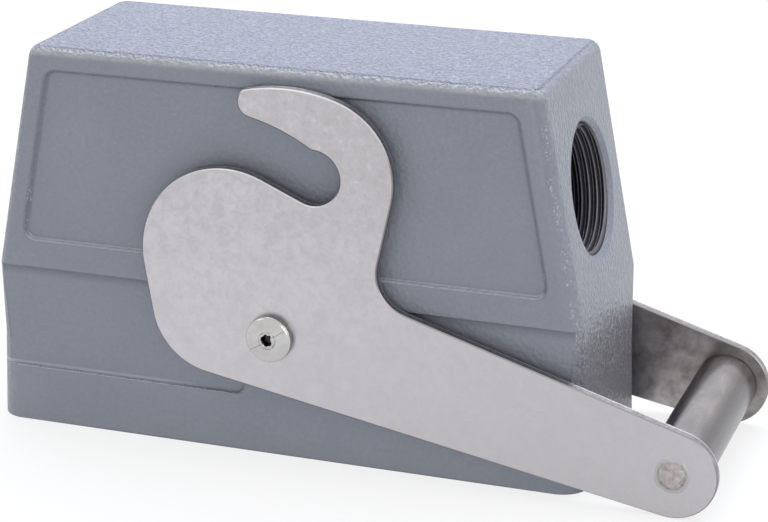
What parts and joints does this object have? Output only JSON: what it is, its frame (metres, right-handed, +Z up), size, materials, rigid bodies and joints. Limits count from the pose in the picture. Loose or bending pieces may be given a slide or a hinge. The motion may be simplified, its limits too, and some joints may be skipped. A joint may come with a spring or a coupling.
{
  "type": "rectangular connector hood",
  "caption": "Die-cast rectangular connector hood with side cable entry, contact insert and an over-swing locking lever of two hooked arms and a handle bar.",
  "frame": {"origin": "centre of the open rim, in the plane of the rim", "axes": "+X along the hood towards the cable entry and the lever's handle, +Y across the hood to the rear, +Z up out of the closed top; the rim faces -Z"},
  "size_m": [0.1454, 0.0532, 0.076],
  "materials": {
    "hood_paint": "grey textured powder coat",
    "lever_steel": "satin stamped stainless steel",
    "bar_steel": "turned stainless steel",
    "pin_steel": "polished steel",
    "insert_plastic": "light grey moulded plastic",
    "screw_zinc": "zinc plated steel",
    "contact_silver": "silver plated"
  },
  "bodies": {
    "hood": {"hood_shell": "hood_paint", "front_pivot_pin": "pin_steel", "rear_pivot_pin": "pin_steel", "front_pivot_washer": "pin_steel", "rear_pivot_washer": "pin_steel", "insert_body": "insert_plastic", "terminal_screws": "screw_zinc", "insert_screws": "screw_zinc", "left_earth_plate": "screw_zinc", "right_earth_plate": "screw_zinc", "earth_screws": "screw_zinc", "contact_pin_01": "contact_silver", "contact_pin_02": "contact_silver", "contact_pin_03": "contact_silver", "contact_pin_04": "contact_silver", "contact_pin_05": "contact_silver", "contact_pin_06": "contact_silver", "contact_pin_07": "contact_silver", "contact_pin_08": "contact_silver", "contact_pin_09": "contact_silver", "contact_pin_10": "contact_silver", "contact_pin_11": "contact_silver", "contact_pin_12": "contact_silver", "contact_pin_13": "contact_silver", "contact_pin_14": "contact_silver", "contact_pin_15": "contact_silver", "contact_pin_16": "contact_silver", "contact_pin_17": "contact_silver", "contact_pin_18": "contact_silver", "contact_pin_19": "contact_silver", "contact_pin_20": "contact_silver", "contact_pin_21": "contact_silver", "contact_pin_22": "contact_silver", "contact_pin_23": "contact_silver", "contact_pin_24": "contact_silver"},
    "lever": {"front_lever_arm": "lever_steel", "rear_lever_arm": "lever_steel", "handle_bar": "bar_steel"}
  },
  "joints": [
    {"name": "lever_pivot", "type": "hinge", "parent": "hood", "child": "lever", "pos_m": [0, 0, 0.025], "axis": [0, -1, 0], "range_deg": [-78, 195]}
  ]
}
